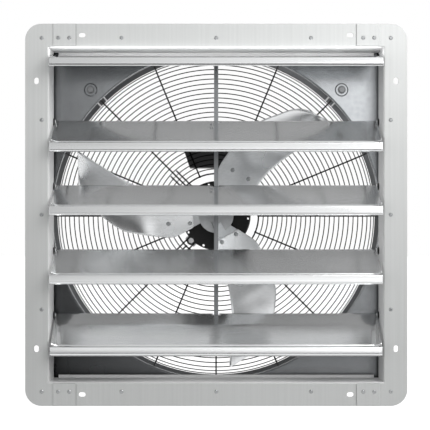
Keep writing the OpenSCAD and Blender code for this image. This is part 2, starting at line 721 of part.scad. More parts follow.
// Drawn as the front shield: its outer face at y = 0 and its rim at y = shield_d
module shield(front) {
    difference() {
        union() {
            rotate([-90, 0, 0]) rotate_extrude() polygon(shield_profile(front));
            for (a = diagonals) swing(a) at(motor_bolt_pcr, 0) rod_y(9, 0.5, shield_d - seat);
        }
        for (a = diagonals) swing(a) at(motor_bolt_pcr, 0) rod_y(motor_bolt_r + seat, -1, shield_d + 1);
        // Spare holes through the rims of both shields, clear of the shell
        for (a = rim_holes) swing(a) at((motor_r + shell_r) / 2, 0) rod_y(rim_hole_r, -1, shield_d + 1);
        if (!front) for (k = [0:11]) swing(15 + 30 * k) at(42, 0) rod_y(5, -1, 8);
    }
}
module motor_front_shield() { color("#1c1c1c") translate([0, motor_y, 0]) shield(true); }
module motor_rear_shield() {
    color("#1c1c1c") translate([0, motor_rear, 0]) mirror([0, 1, 0]) shield(false);
}
module motor_shell() {
    color("#1c1c1c") difference() {
        tube_y(shell_r, shell_r - shell_t, shell_y[0], shell_y[1]);
        translate([0, lead_y, 0]) cylinder(r = lead_r + seat, h = shell_r + 5);
    }
}
module stator_core() {
    color("dimgray") tube_y(shell_r - shell_t - press, stator_bore, core_y[0], core_y[1]);
}
module stator_windings() {
    color("peru") for (y = [core_y[0] - 10, core_y[1] + seat]) tube_y(53, 40, y, y + 10 - seat);
}
module rotor_core() { color("gray") tube_y(rotor_r, shaft_r + press, core_y[0] - 1, core_y[1] + 1); }
module bearings() {
    color("silver") for (y = [motor_y + shield_wall + 0.1, motor_rear - shield_wall - 0.1 - bearing_w])
        tube_y(bearing_r, shaft_r + fit, y, y + bearing_w);
}
clamp_t = 2;
clamp_y = guard_y + wire_r + seat;
module motor_bolts() {
    color("silver") for (a = diagonals) swing(a) at(motor_bolt_pcr, 0) {
        rod_y(motor_bolt_r, motor_y - 0.5, clamp_y + clamp_t + 8);
        rod_y(3.9, motor_y - 0.5, motor_y + 0.5 - seat);
        across(motor_y - seat - 5, motor_y - seat) hexagon(10);
    }
}
// Clamp plates span each pair of wires, under flange nuts
module motor_nuts() {
    color("silver") for (a = diagonals) swing(a) at(motor_bolt_pcr, 0) difference() {
        union() {
            across(clamp_y, clamp_y + clamp_t) square([14, 2 * pair_half + 8], center = true);
            across(clamp_y + clamp_t - 0.1, clamp_y + clamp_t + 5) hexagon(10);
        }
        rod_y(motor_bolt_r + seat, clamp_y - 1, clamp_y + 12);
    }
}

// Guard: rings welded on the outside of bent radial wires
flat_r = side_r(side_top_y) - bend_r * cos(side_a);
ring_off = wire_r + ring_wire_r + seat;
side_ring_ys = [for (y = [rim_y:side_pitch:guard_y - bend_r - 4]) y];
ring_bend = bend_r + ring_off;
face_rings = [for (r = [ring_first + ring_pitch:ring_pitch:flat_r]) r];
// Angles of the rings on the round edge, which keep the spacing of the face
edge_first = (face_rings[len(face_rings) - 1] + ring_pitch - flat_r) / ring_bend * 180 / PI;
edge_step = ring_pitch / ring_bend * 180 / PI;
edge_angles = [for (a = [edge_first:edge_step:90 - side_a]) a];
edge_split = 45; // rings beyond this angle belong to the side
// Ring wires have eight narrow flats, which keeps the mesh of so many rings small
module ring(r, y, wire) {
    translate([0, y, 0]) rotate([-90, 0, 0]) rotate_extrude() translate([r, 0]) circle(wire, $fn = 8);
}
module guard_rings() {
    thick = ring_wire_r * 1.5;
    color("black") {
        ring(ring_first, guard_y + wire_r + thick + seat, thick);
        for (r = face_rings) ring(r, guard_y + ring_off, ring_wire_r);
        for (a = edge_angles) if (a < edge_split) edge_ring(a);
    }
}
module edge_ring(a) {
    ring(flat_r + ring_bend * sin(a), guard_y - bend_r + ring_bend * cos(a), ring_wire_r);
}
module guard_side_rings() {
    color("black") {
        for (a = edge_angles) if (a >= edge_split) edge_ring(a);
        for (y = side_ring_ys) ring(side_r(y) + ring_off / cos(side_a), y, ring_wire_r);
    }
}
// Wire parts: straight runs are a hair thinner than the bends that they are set into
module run(r, l) { translate([0, 0, -bite]) cylinder(r = r - thin, h = l + 2 * bite, $fn = 24); }
module wire_bend(bend, r, a) { rotate_extrude(angle = a) translate([bend, 0]) circle(r, $fn = 24); }
// One wire: straight from r0 on the face, round the edge, down the side to y1
module bent_wire(r0, y1) {
    translate([r0, guard_y, 0]) rotate([0, 90, 0]) run(wire_r, flat_r - r0);
    translate([flat_r, guard_y - bend_r, 0]) rotate([0, 0, side_a]) wire_bend(bend_r, wire_r, 90 - side_a);
    translate([side_r(y1), y1, 0]) rotate([0, 0, side_a]) rotate([-90, 0, 0])
        run(wire_r, (side_top_y - y1) / cos(side_a));
}
module guard_radials() {
    color("black") for (i = [0:radial_count - 1]) swing(360 / radial_count * i)
        bent_wire(ring_first - 2, panel_rear + 1.3);
}
module guard_motor_wires() {
    color("black") for (a = diagonals, s = [-1, 1]) swing(a) translate([58, guard_y, s * pair_half])
        rotate([0, 90, 0]) cylinder(r = wire_r, h = 64, $fn = 24);
}
// Feet: a wire loop round each guard bolt, with two legs up the side of the basket
foot_bend = 3;
foot_y = panel_rear + wire_r + seat;
foot_top = 205;
function leg_r(y) = sqrt(pow(side_r(y), 2) - pow(pair_half, 2)) - 3 * seat;
module foot_leg() {
    centre = [leg_r(foot_y) + foot_bend * cos(side_a), foot_y + foot_bend];
    y_side = centre[1] - foot_bend * sin(side_a);
    translate([leg_r(foot_y), y_side, 0]) rotate([0, 0, side_a]) rotate([-90, 0, 0])
        run(wire_r, (foot_top - y_side) / cos(side_a));
    translate([centre[0], centre[1], 0]) rotate([0, 0, 180 + side_a])
        wire_bend(foot_bend, wire_r, 90 - side_a);
    translate([centre[0], foot_y, 0]) rotate([0, 90, 0]) run(wire_r, guard_bolt_pcr - centre[0]);
}
module guard_feet() {
    color("silver") for (a = diagonals) swing(a) {
        for (s = [-1, 1]) translate([0, 0, s * pair_half]) foot_leg();
        translate([guard_bolt_pcr, foot_y, 0]) rotate([90, 0, 0]) rotate([0, 0, -90])
            wire_bend(pair_half, wire_r, 180);
    }
}
module guard_bolts() {
    head_y = housing_d - 2 - seat;
    color("silver") for (a = diagonals) swing(a) at(guard_bolt_pcr, 0) {
        rod_y(guard_screw_r, head_y - 2, foot_y + wire_r + 10);
        rod_y(7.5, head_y - 1.4, head_y);
        across(head_y - 5.2, head_y - 1.3) hexagon(10);
    }
}
module guard_nuts() {
    y = foot_y + wire_r + seat;
    color("silver") for (a = diagonals) swing(a) at(guard_bolt_pcr, 0) difference() {
        union() {
            rod_y(pair_half + 3, y, y + 2);
            across(y + 1.9, y + 7) hexagon(10);
        }
        rod_y(guard_screw_r + seat, y - 1, y + 9);
    }
}

// Control box behind the guard, above the motor
box_half = ctrl_w / 2;
base_half = ctrl_base_w / 2;
gland_z = ctrl_z + 66;
// Distance from the middle, and from the fan axis, of the screws that hold the box
box_screw = [30, ring_first + ring_pitch * 6.5];
function screw_z() = sqrt(pow(box_screw[1], 2) - pow(box_screw[0], 2));
module box_outline(inset = 0) {
    slope_h = (ctrl_w - ctrl_base_w) / 2 * 3;
    polygon([[-base_half + inset, ctrl_z + inset], [base_half - inset, ctrl_z + inset],
        [box_half - inset, ctrl_z + slope_h], [box_half - inset, ctrl_z + ctrl_h - inset],
        [-box_half + inset, ctrl_z + ctrl_h - inset], [-box_half + inset, ctrl_z + slope_h]]);
}
module control_box() {
    color("#202020") difference() {
        across(ctrl_y, ctrl_y + ctrl_d) box_outline();
        across(ctrl_y + ctrl_t, ctrl_y + ctrl_d + 1) box_outline(ctrl_t);
        for (s = [-1, 1]) at(s * box_screw[0], screw_z()) rod_y(2 + seat, ctrl_y - 1, ctrl_y + 9);
        translate([0, ctrl_y + 22, ctrl_z - 1]) cylinder(r = lead_r + seat, h = ctrl_t + 2);
        translate([-box_half - 1, ctrl_y + 24, gland_z]) rod_x(8 + seat, 0, ctrl_t + 3);
    }
}
module control_box_lid() {
    color("#262626") {
        across(ctrl_y + ctrl_d + seat, ctrl_y + ctrl_d + seat + ctrl_t) box_outline();
        across(ctrl_y + ctrl_d - 4, ctrl_y + ctrl_d + seat + 0.5) difference() {
            box_outline(ctrl_t + 0.3);
            box_outline(ctrl_t + 2.3);
        }
    }
}
// Strap in front of the radial wires that holds the box to the guard
module box_strap() {
    y = guard_y - wire_r - seat;
    color("silver") difference() {
        across(y - 2, y) translate([0, screw_z()]) square([ctrl_w + 4, 14], center = true);
        for (s = [-1, 1]) at(s * box_screw[0], screw_z()) rod_y(2 + seat, y - 4, y + 1);
    }
}
module box_screws() {
    y = guard_y - wire_r - 2 * seat - 2;
    color("silver") {
        for (s = [-1, 1]) at(s * box_screw[0], screw_z()) {
            rod_y(2, y - 0.5, ctrl_y + ctrl_t + 2);
            translate([0, y, 0]) rotate([90, 0, 0]) cylinder(r1 = 4, r2 = 2.8, h = 2);
        }
    }
}
module capacitor() {
    color("gainsboro") translate([0, ctrl_y + ctrl_t + 17, ctrl_z + 30]) cylinder(r = 16.9, h = 46);
}
module cable_gland() {
    color("#151515") translate([-box_half, ctrl_y + 24, gland_z]) difference() {
        union() {
            rod_x(8, -1, ctrl_t + 5);
            translate([-5, 0, 0]) rotate([0, 90, 0]) linear_extrude(5 - seat) hexagon(20);
            translate([-15, 0, 0]) rotate([0, 90, 0]) cylinder(r1 = 6.5, r2 = 9, h = 10.1);
        }
        rod_x(3.5, -20, 20);
    }
}
// Lead from the motor shell, through the gap inside the innermost ring, up into the box
lead_bend = 8;
lead_z = ring_first - 7.5;
module lead_arc(a) { rotate([0, 90, 0]) rotate([0, 0, a]) wire_bend(lead_bend, lead_r, 90); }
module motor_lead() {
    y2 = ctrl_y + 22;
    color("#181818") {
        translate([0, lead_y, shell_r - 6]) run(lead_r, lead_z - lead_bend - shell_r + 6);
        translate([0, lead_y + lead_bend, lead_z - lead_bend]) lead_arc(180);
        translate([0, lead_y + lead_bend, lead_z]) rotate([-90, 0, 0])
            run(lead_r, y2 - lead_y - 2 * lead_bend);
        translate([0, y2 - lead_bend, lead_z + lead_bend]) lead_arc(0);
        translate([0, y2, lead_z + lead_bend]) run(lead_r, ctrl_z - lead_z - lead_bend + 6);
    }
}

left_stile();
right_stile();
top_rail();
bottom_rail();
frame_rivets();
housing_left();
housing_right();
housing_top();
housing_bottom();
housing_rivets();
orifice_panel();
panel_screws();
pivot_bushes();
color("lightgray") louvre(0);  // louvre_1
color("lightgray") louvre(1);  // louvre_2
color("lightgray") louvre(2);  // louvre_3
color("lightgray") louvre(3);  // louvre_4
color("lightgray") louvre(4);  // louvre_5
bracket(0);  // bracket_1
bracket(1);  // bracket_2
bracket(2);  // bracket_3
bracket(3);  // bracket_4
bracket(4);  // bracket_5
bracket_rivets(0);  // bracket_rivets_1
bracket_rivets(1);  // bracket_rivets_2
bracket_rivets(2);  // bracket_rivets_3
bracket_rivets(3);  // bracket_rivets_4
bracket_rivets(4);  // bracket_rivets_5
tie_bar();
spider();
blade_n(0);  // blade_1
blade_n(1);  // blade_2
blade_n(2);  // blade_3
blade_rivets();
hub_screw();
shaft();
rotor_core();
motor_front_shield();
motor_shell();
motor_rear_shield();
stator_core();
stator_windings();
bearings();
motor_bolts();
motor_nuts();
guard_rings();
guard_side_rings();
guard_radials();
guard_motor_wires();
guard_feet();
guard_bolts();
guard_nuts();
control_box();
control_box_lid();
box_strap();
box_screws();
capacitor();
cable_gland();
motor_lead();
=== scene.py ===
import json
import math

import bmesh
import bpy
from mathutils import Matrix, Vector


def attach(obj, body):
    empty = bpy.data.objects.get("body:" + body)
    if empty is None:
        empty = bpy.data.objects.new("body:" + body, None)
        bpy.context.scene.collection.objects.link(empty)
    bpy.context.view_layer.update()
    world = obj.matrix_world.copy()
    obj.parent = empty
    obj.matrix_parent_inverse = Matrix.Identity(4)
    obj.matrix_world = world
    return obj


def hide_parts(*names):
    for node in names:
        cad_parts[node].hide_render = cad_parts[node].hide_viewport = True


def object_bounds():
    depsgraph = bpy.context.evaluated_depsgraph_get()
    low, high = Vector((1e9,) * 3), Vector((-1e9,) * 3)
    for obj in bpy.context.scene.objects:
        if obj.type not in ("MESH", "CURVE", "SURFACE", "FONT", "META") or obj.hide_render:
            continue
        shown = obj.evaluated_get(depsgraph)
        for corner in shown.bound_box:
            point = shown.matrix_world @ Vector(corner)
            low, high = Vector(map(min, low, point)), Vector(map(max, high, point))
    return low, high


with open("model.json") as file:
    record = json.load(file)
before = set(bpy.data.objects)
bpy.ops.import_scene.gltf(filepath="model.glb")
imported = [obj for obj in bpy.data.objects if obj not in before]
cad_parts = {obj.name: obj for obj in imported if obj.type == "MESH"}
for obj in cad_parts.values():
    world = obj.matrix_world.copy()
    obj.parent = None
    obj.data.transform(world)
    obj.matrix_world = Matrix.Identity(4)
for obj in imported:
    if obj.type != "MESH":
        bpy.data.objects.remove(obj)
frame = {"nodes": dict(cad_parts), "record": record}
cad_box = [list(v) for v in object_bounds()]
nodes = frame["nodes"]


# Shader helpers: a material, like the world, is built from a few small procedural layers

class Tree:
    """The node tree of a material or a world, with short calls for the nodes used here."""

    def __init__(self, owner):
        owner.use_nodes = True
        self.tree = owner.node_tree
        self.tree.nodes.clear()

    def add(self, kind, **values):
        node = self.tree.nodes.new(kind)
        for key, value in values.items():
            setattr(node, key, value)
        return node

    def link(self, a, b):
        self.tree.links.new(a, b)

    def put(self, socket, value):
        """Links a socket to another one's output, or gives it a constant."""
        if isinstance(value, bpy.types.NodeSocket):
            self.link(value, socket)
        else:
            socket.default_value = value

    def axes(self, vector):
        n = self.add("ShaderNodeSeparateXYZ")
        self.link(vector, n.inputs[0])
        return n.outputs

    def calc(self, operation, *values, clamp=False):
        n = self.add("ShaderNodeMath", operation=operation, use_clamp=clamp)
        for socket, value in zip(n.inputs, values):
            self.put(socket, value)
        return n.outputs[0]

    def range(self, fac, lo, hi, start=0.3, end=0.7):
        """Runs from lo to hi while fac runs from start to end, and stays level outside."""
        n = self.add("ShaderNodeMapRange")
        for key, value in (("From Min", start), ("From Max", end), ("To Min", lo), ("To Max", hi)):
            n.inputs[key].default_value = value
        self.link(fac, n.inputs["Value"])
        return n.outputs[0]

    def curve(self, fac, points):
        """Piecewise linear curve through (value, result) points."""
        total = points[0][1]
        for (x0, y0), (x1, y1) in zip(points, points[1:]):
            total = self.calc("ADD", self.range(fac, 0, y1 - y0, x0, x1), total)
        return total


class Mat(Tree):
    """A procedural material on object coordinates, which are metres in the shared frame."""

    def __init__(self, name):
        self.mat = bpy.data.materials.new(name)
        super().__init__(self.mat)
        self.out = self.add("ShaderNodeOutputMaterial")
        self.bsdf = self.add("ShaderNodeBsdfPrincipled")
        self.link(self.bsdf.outputs[0], self.out.inputs["Surface"])
        self.coord = self.add("ShaderNodeTexCoord").outputs["Object"]
        self.normal = None

    def set(self, **values):
        for key, value in values.items():
            self.bsdf.inputs[key.replace("_", " ")].default_value = value

    def mapped(self, scale, rotation=(0, 0, 0)):
        n = self.add("ShaderNodeMapping")
        n.inputs["Scale"].default_value = scale
        n.inputs["Rotation"].default_value = rotation
        self.link(self.coord, n.inputs["Vector"])
        return n.outputs[0]

    def noise(self, scale, detail=3.0, rotation=(0, 0, 0)):
        n = self.add("ShaderNodeTexNoise")
        n.inputs["Scale"].default_value = 1.0
        n.inputs["Detail"].default_value = detail
        self.link(self.mapped(scale, rotation), n.inputs["Vector"])
        return n.outputs["Fac"]

    def cells(self, scale):
        n = self.add("ShaderNodeTexVoronoi")
        n.inputs["Scale"].default_value = 1.0
        self.link(self.mapped(scale), n.inputs["Vector"])
        return n.outputs["Distance"]

    def wave(self, scale, direction):
        n = self.add("ShaderNodeTexWave", bands_direction=direction)
        n.inputs["Scale"].default_value = 1.0
        n.inputs["Distortion"].default_value = 0.0
        self.link(self.mapped(scale), n.inputs["Vector"])
        return n.outputs["Fac"]

    def mix(self, fac, a, b):
        """Mixes two colours, each a socket or a tuple."""
        n = self.add("ShaderNodeMix", data_type="RGBA")
        self.link(fac, n.inputs["Factor"])
        for key, value in (("A", a), ("B", b)):
            self.put(n.inputs[key], (*value, 1) if isinstance(value, tuple) else value)
        return n.outputs["Result"]

    def color(self, fac, dark, light):
        self.link(self.mix(fac, dark, light), self.bsdf.inputs["Base Color"])

    def shade(self, factor):
        """Multiplies the base colour as linked so far."""
        base = self.bsdf.inputs["Base Color"]
        n = self.add("ShaderNodeVectorMath", operation="SCALE")
        self.link(base.links[0].from_socket, n.inputs[0])
        self.link(factor, n.inputs["Scale"])
        self.link(n.outputs[0], base)

    def rough(self, fac, lo, hi):
        self.link(self.range(fac, lo, hi), self.bsdf.inputs["Roughness"])

    def edges(self, radius):
        """Small rounding of edges, seen in the highlights. It comes before any bump."""
        n = self.add("ShaderNodeBevel", samples=4)
        n.inputs["Radius"].default_value = radius
        self.normal = n.outputs[0]
        self.link(self.normal, self.bsdf.inputs["Normal"])

    def bump(self, fac, distance, strength=1.0):
        n = self.add("ShaderNodeBump")
        n.inputs["Strength"].default_value = strength
        n.inputs["Distance"].default_value = distance
        self.link(fac, n.inputs["Height"])
        if self.normal is not None:
            self.link(self.normal, n.inputs["Normal"])
        self.normal = n.outputs[0]
        self.link(self.normal, self.bsdf.inputs["Normal"])

    def painted_shade(self, reach, depth):
        """Painted shade: darker base colour where surfaces meet, as in lap joints and round rivet heads."""
        n = self.add("ShaderNodeAmbientOcclusion", samples=6)
        n.inputs["Distance"].default_value = reach
        self.shade(self.range(n.outputs["AO"], 1 - depth, 1.0, start=0.25, end=0.95))

    def painted_light_gradient(self, middle, across, up):
        """Front side only: painted light and shade, a tone that grows lighter towards one upper corner and
        darker towards the opposite lower one.
        """
        reach = 0.3  # metres from the middle over which the tone changes
        x, _, z = self.axes(self.coord)
        facing = self.axes(self.add("ShaderNodeNewGeometry").outputs["True Normal"])["Y"]
        side = self.range(x, -reach * across, reach * across, -reach, reach)
        height = self.range(z, middle - reach * up, middle + reach * up, -reach, reach)
        n = self.add("ShaderNodeMix", data_type="FLOAT")
        self.link(self.range(facing, 1, 0, start=-0.9, end=-0.5), n.inputs["Factor"])
        n.inputs["A"].default_value = 1.0
        self.link(self.calc("ADD", side, height), n.inputs["B"])
        self.shade(n.outputs["Result"])

    def painted_light_inside(self, half, base, metallic=0.05):
        """Painted light: a paler, less metallic tone inside the wall's hole, which makes the frame's shaded
        returns look lit.
        """
        far = self.add("ShaderNodeVectorMath", operation="ABSOLUTE")
        self.link(self.coord, far.inputs[0])
        x, _, z = self.axes(far.outputs[0])
        inside = self.calc("LESS_THAN", self.calc("MAXIMUM", x, z), half)
        color, metal = self.bsdf.inputs["Base Color"], self.bsdf.inputs["Metallic"]
        self.link(self.mix(inside, color.links[0].from_socket, base), color)
        self.link(self.range(inside, metal.default_value, metallic, start=0, end=1), metal)

    def either(self, fac, a, b):
        """Shader a where fac is 0, and shader b where it is 1."""
        n = self.add("ShaderNodeMixShader")
        for socket, value in zip(n.inputs, (fac, a, b)):
            self.link(value, socket)
        return n.outputs[0]

    def emission(self, strength):
        n = self.add("ShaderNodeEmission")
        self.link(strength, n.inputs["Strength"])
        return n.outputs[0]


# Finishes. Grain, waves and clouds are given as scales per metre, edges and bumps in metres

def tone(color, k):
    return tuple(min(1.0, c * k) for c in color)


def even(scale):
    return (scale, scale, scale)


def rolled_sheet(name, base, rough, grain=(3, 260, 260), spread=0.05, wavy=0.0, metallic=1.0, edge=0.0004,
                 painted_shade=0.0, painted_light_inside=None):
    """Bare or plated metal with the fine streaks of rolling or drawing."""
    m = Mat(name)
    m.set(Metallic=metallic)
    if edge:
        m.edges(edge)
    streak = m.noise(grain, detail=4)
    m.color(m.range(streak, 0, 1), tone(base, 1 - spread), tone(base, 1 + spread))
    m.rough(m.noise(even(5), detail=2), rough * 0.85, rough * 1.2)
    if wavy:
        m.bump(m.noise((2.2, 9, 9), detail=1), wavy)
    m.bump(streak, 0.00001, 0.4)
    # Painted shade in joints and round rivet heads, by ambient occlusion
    if painted_shade:
        m.painted_shade(0.0035, painted_shade)
    # Painted light: a paler, less metallic tone inside the wall's hole
    if painted_light_inside:
        m.painted_light_inside(*painted_light_inside)
    return m.mat


def spangled(name, base, rough, metallic, painted_shade, painted_light_gradient=None):
    """Zinc-plated sheet: soft spangle under a satin grey coat."""
    m = Mat(name)
    m.set(Metallic=metallic)
    m.edges(0.0005)
    m.color(m.range(m.cells(even(90)), 0, 1, start=0.1, end=0.8), tone(base, 0.96), tone(base, 1.05))
    m.rough(m.noise(even(6)), rough * 0.85, rough * 1.15)
    m.bump(m.noise(even(420), detail=2), 0.00003, 0.4)
    # Painted shade where surfaces meet, by ambient occlusion
    m.painted_shade(0.02, painted_shade)
    # Painted light and shade across the front, lighter towards one upper corner
    if painted_light_gradient:
        m.painted_light_gradient(*painted_light_gradient)
    return m.mat


def plated(name, base, rough):
    """Small turned or headed metal parts."""
    m = Mat(name)
    m.set(Metallic=1.0)
    m.edges(0.0003)
    fine = m.noise(even(140), detail=4)
    m.color(m.range(m.noise(even(25), detail=2), 0, 1), tone(base, 0.9), tone(base, 1.08))
    m.rough(fine, rough * 0.8, rough * 1.25)
    m.bump(fine, 0.00004, 0.5)
    return m.mat


def coated(name, base, rough, peel=700, depth=0.00006, coat=0.05, shine=0.3):
    """Paint or powder coat with orange peel and slightly worn tone."""
    m = Mat(name)
    m.set(Coat_Weight=coat, Coat_Roughness=0.2, Specular_IOR_Level=shine)
    m.edges(0.0004)
    cloud = m.noise(even(18))
    m.color(m.range(cloud, 0, 1), tone(base, 0.8), tone(base, 1.35))
    m.rough(cloud, rough * 0.85, rough * 1.2)
    m.bump(m.noise(even(peel), detail=2), depth, 0.6)
    return m.mat


def moulded(name, base, rough, grain=1100):
    """Plastic or rubber with a fine moulded grain."""
    m = Mat(name)
    m.edges(0.0005)
    cloud = m.noise(even(30), detail=2)
    m.color(m.range(cloud, 0, 1), tone(base, 0.85), tone(base, 1.2))
    m.rough(cloud, rough * 0.9, rough * 1.1)
    m.bump(m.cells(even(grain)), 0.00008, 0.5)
    return m.mat


def laminations(name):
    """Stacked core sheets, seen as thin rings along the motor's axis."""
    m = Mat(name)
    m.set(Metallic=0.8)
    layer = m.wave((0, 1200, 0), "Y")
    m.color(m.range(layer, 0, 1), (0.12, 0.12, 0.13), (0.34, 0.34, 0.36))
    m.rough(layer, 0.35, 0.6)
    m.bump(layer, 0.0001, 0.7)
    return m.mat


def windings(name):
    """Lacquered copper wire in bundles."""
    m = Mat(name)
    m.set(Metallic=0.9, Coat_Weight=0.5)
    turn = m.wave((420, 0, 420), "DIAGONAL")
    m.color(m.range(turn, 0, 1), (0.33, 0.12, 0.04), (0.72, 0.36, 0.17))
    m.rough(turn, 0.25, 0.45)
    m.bump(turn, 0.0003, 0.8)
    return m.mat


def blade_metal(name):
    """Bright aluminium sheet with a slanting grain."""
    m = Mat(name)
    m.set(Metallic=1.0)
    m.edges(0.0005)
    grain = m.noise((30, 300, 300), detail=4, rotation=(0, 0.4, 0))
    m.color(m.range(grain, 0, 1), (0.82, 0.83, 0.84), (0.9, 0.91, 0.92))
    m.rough(m.noise(even(7)), 0.2, 0.34)
    m.bump(grain, 0.00003, 0.5)
    return m.mat


OPENING_HALF = 0.3117  # half the hole in the wall with its edge, in metres; the frame sheet gets painted light inside it
# Painted light: the frame sheet's tone inside the wall's hole
PAINTED_LIGHT_PALE = (0.82, 0.82, 0.82)
HOUSING = (0.29, 0.30, 0.31)

# One finish for each material slot of the record
FINISHES = {
    # frame_sheet: painted shade at joints and rivets, and painted light inside the wall's hole
    "frame_sheet": (rolled_sheet, dict(base=(0.58, 0.59, 0.585), rough=0.5, grain=(240, 60, 3), spread=0.03,
                                       metallic=0.35, painted_shade=0.85, painted_light_inside=(OPENING_HALF, PAINTED_LIGHT_PALE))),
    # housing_sheet: painted shade where surfaces meet
    "housing_sheet": (spangled, dict(base=HOUSING, rough=0.22, metallic=0.97, painted_shade=0.5)),
    "louvre_sheet": (rolled_sheet, dict(base=(0.82, 0.83, 0.835), rough=0.17, grain=(3, 240, 240), spread=0.02,
                                        wavy=0.00004, metallic=0.86)),
    "rivet_alloy": (plated, dict(base=(0.38, 0.39, 0.395), rough=0.28)),
    "zinc_steel": (plated, dict(base=(0.58, 0.58, 0.59), rough=0.3)),
    "link_steel": (rolled_sheet, dict(base=(0.3, 0.31, 0.32), rough=0.4, grain=(300, 300, 4), spread=0.06)),
    "spider_steel": (rolled_sheet, dict(base=(0.48, 0.49, 0.5), rough=0.3, grain=even(180))),
    "blade_alloy": (blade_metal, {}),
    "shaft_steel": (rolled_sheet, dict(base=(0.66, 0.66, 0.68), rough=0.16, grain=(8, 900, 8), spread=0.03)),
    "core_steel": (laminations, {}),
    "copper_wire": (windings, {}),
    "motor_paint": (coated, dict(base=(0.004, 0.004, 0.0042), rough=0.42)),
    "guard_coating": (coated, dict(base=(0.002, 0.002, 0.002), rough=0.6, peel=1300, depth=0.00003, coat=0.0,
                                   shine=0.04)),
    "black_nylon": (moulded, dict(base=(0.014, 0.014, 0.014), rough=0.45)),
    "box_plastic": (moulded, dict(base=(0.012, 0.012, 0.013), rough=0.42)),
    "capacitor_can": (rolled_sheet, dict(base=(0.7, 0.7, 0.7), rough=0.3, grain=(200, 200, 4))),
    "lead_rubber": (moulded, dict(base=(0.012, 0.012, 0.012), rough=0.6, grain=700)),
}
# Nodes that look different from the rest of their slot in the photo
OWN_FINISHES = {
    "guard_side_rings": ("side_wire", rolled_sheet, dict(base=(0.13, 0.134, 0.138), rough=0.4,
                                                         grain=(300, 4, 300), edge=0)),
    # guard_bolts: painted shade round the bolts
    "guard_bolts": ("bolt_steel", rolled_sheet, dict(base=(0.2, 0.205, 0.21), rough=0.2, grain=even(140),
                                                     painted_shade=0.97)),
    # orifice_panel: painted shade where surfaces meet, and a painted light-and-shade gradient on its front
    "orifice_panel": ("panel_sheet", spangled, dict(base=HOUSING, rough=0.24, metallic=0.95, painted_shade=0.5,
                                                    painted_light_gradient=(1.0, 1.75, 1.0))),
}

materials = {name: make(name, **values) for name, (make, values) in FINISHES.items()}
slot_of = {s["node"]: s["material_slot"] for s in frame["record"]["subparts"]}
for name, obj in nodes.items():
    obj.data.materials.clear()
    obj.data.materials.append(materials[slot_of[name]])
for name, (look, make, values) in OWN_FINISHES.items():
    nodes[name].data.materials[0] = make(look, **values)


# Mesh helpers, all in millimetres until the object is made

def piece(name, verts, faces, body, slot, replaces, smooth, thick=0.0):
    """A named object on its body. Its edges are smooth below an angle, and thick makes a sheet of it."""
    mesh = bpy.data.meshes.new(name)
    mesh.from_pydata([(x / 1000, y / 1000, z / 1000) for x, y, z in verts], [], faces)
    bm = bmesh.new()
    bm.from_mesh(mesh)
    bmesh.ops.remove_doubles(bm, verts=bm.verts, dist=1e-6)
    bmesh.ops.recalc_face_normals(bm, faces=bm.faces)
    bm.to_mesh(mesh)
    bm.free()
    mesh.shade_smooth()
    mesh.set_sharp_from_angle(angle=math.radians(smooth))
    obj = bpy.data.objects.new(name, mesh)
    bpy.context.scene.collection.objects.link(obj)
    obj.data.materials.append(materials[slot])
    if thick:
        solid = obj.modifiers.new("sheet", "SOLIDIFY")
        solid.thickness = thick / 1000
        solid.offset = 0
    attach(obj, body)
    if replaces:
        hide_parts(*replaces)


def grid_faces(rows, cols, start=0, skip=None):
    """Four-sided faces of a grid of vertices, without those that skip(row, column) names."""
    faces = []
    for i in range(rows - 1):
        for k in range(cols - 1):
            if skip and skip(i, k):
                continue
            a = start + i * cols + k
            faces.append((a, a + 1, a + cols + 1, a + cols))
    return faces


def soft_path(points, radius, steps=5):
    """A bent-sheet path: each corner becomes a small arc, which takes less than half of either side."""
    out = [Vector(points[0])]
    for a, b, c in zip(points, points[1:], points[2:]):
        a, b, c = Vector(a), Vector(b), Vector(c)
        u, w = (a - b).normalized(), (c - b).normalized()
        half = math.acos(max(-1, min(1, u.dot(w)))) / 2
        reach = min(radius / math.tan(half), (a - b).length * 0.45, (c - b).length * 0.45)
        p, q = b + u * reach, b + w * reach
        for n in range(steps + 1):
            t = n / steps
            out.append(p * (1 - t) ** 2 + b * 2 * t * (1 - t) + q * t * t)
    out.append(Vector(points[-1]))
    return out


def densify(path, step):
    out = [path[0]]
    for a, b in zip(path, path[1:]):
        count = max(1, round((b - a).length / step))
        out += [a.lerp(b, n / count) for n in range(1, count + 1)]
    return out


# Louvres: bent sheets with soft folds, turned-up wings and the slight waves of thin sheet.
# In a louvre's own plane, x runs along it, u from the pivot to the lip, and v up from the plate.

PIVOT_Y = 78
PIVOT_Z = [300.6, 177.78, 54.96, -67.86, -190.68]
SLOPES = [6, 24, 21, 23.5, 29.5]  # degrees below level at rest
HALF, T_SHEET = 307.5, 1.0  # half the length, and the thickness
PLATE, BACK, SLIT = 111.02, 5.0, 108.52  # front and back edge of the plate, and front end of the wings
WING, WING_A = 16.0, 30.0  # width and slope of the turned-up wings
LIP_A, LIP_W, HEM_A, HEM_W = 58, 12, 88, 5  # slopes and widths of the lip and of the hem below it
GROOVE = [(PLATE - 8, 0), (PLATE - 6.5, -1.2), (PLATE - 4, -1.2)]  # pressed in just behind the lip
GROOVE_START = PLATE - 9  # the plate is flat up to here
FOLD_R = 1.6
BEND = 0.55  # share of a wing's width over which it turns up
WAVE_END = 104  # the sheet's waves have died out at this u
ROW_STEP = 6  # between the plate's rows of vertices
NOTCH = (-6.4, 6.0)  # the back edge is cut out between these, for the link bracket
COLUMNS, WING_COLUMNS, WING_STEPS = 105, 8, 12  # of vertices along it and across a wing, and steps of its bend
BOW, BOW_AT = 3.6, 42  # height of the lowest sheet's bow, and its place along u
STUB = [(306.1, 4.2), (306.1, 4.6), (307.5, 4.6), (307.8, 4.3), (307.8, 3.2), (308.2, 3), (314.4, 3),
        (314.9, 2.5)]  # disc and pin: distance from the middle, and radius


